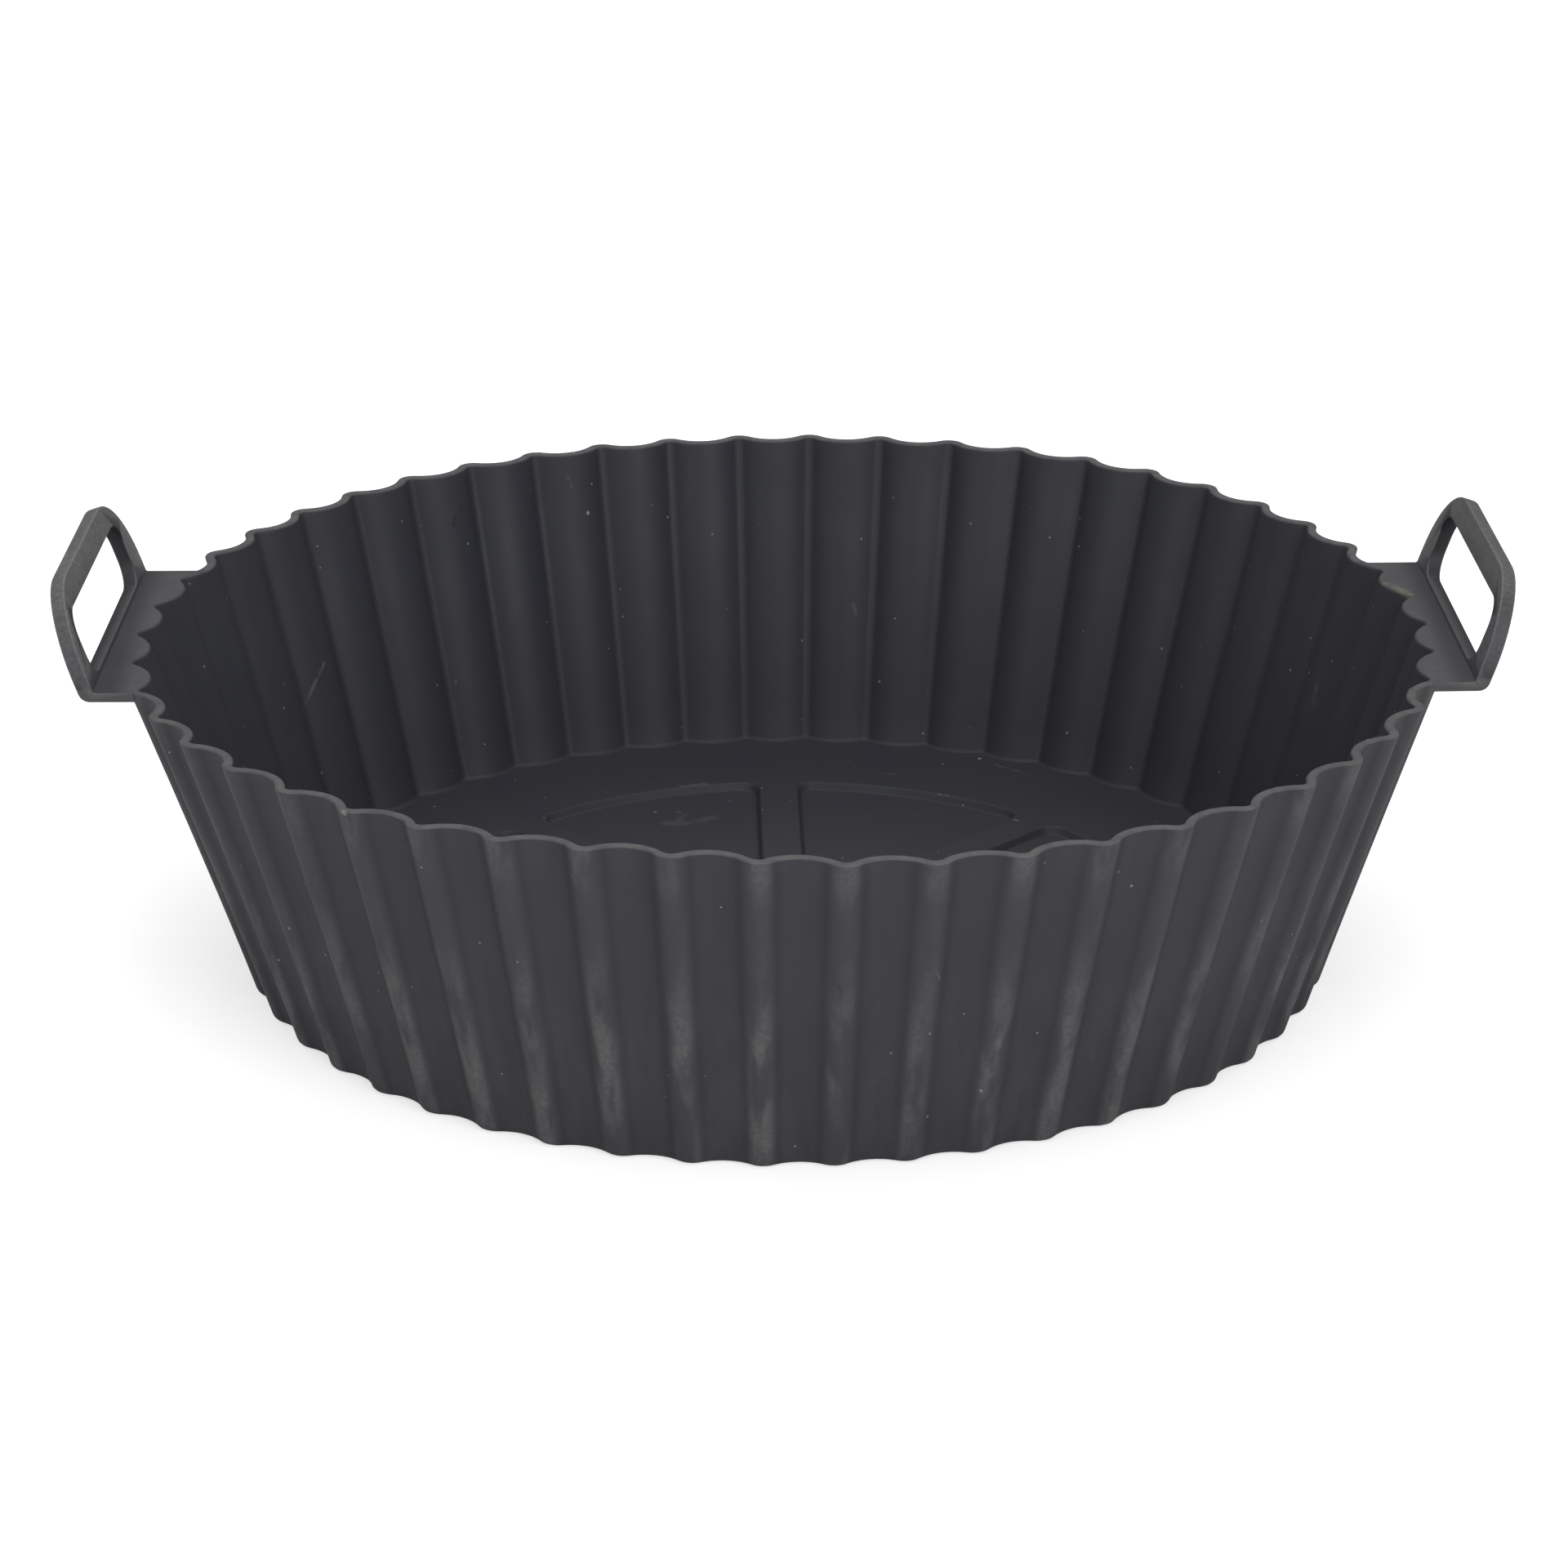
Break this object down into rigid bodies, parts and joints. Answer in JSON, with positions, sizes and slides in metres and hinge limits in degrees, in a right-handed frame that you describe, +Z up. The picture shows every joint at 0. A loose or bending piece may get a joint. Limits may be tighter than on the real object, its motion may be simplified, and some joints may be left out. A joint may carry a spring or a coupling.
{
  "type": "air fryer liner",
  "caption": "Round fluted silicone liner for a fryer basket, with a flat panelled floor and a raised lifting loop on each side of the rim.",
  "frame": {"origin": "centre of the flat underside, at the level that it rests on", "axes": "+X through the two lifting loops, +Y square to it across the rim, +Z up out of the bowl"},
  "size_m": [0.2206, 0.2006, 0.0676],
  "materials": {
    "silicone": "matt"
  },
  "bodies": {
    "root": {"liner": "silicone"}
  },
  "joints": []
}
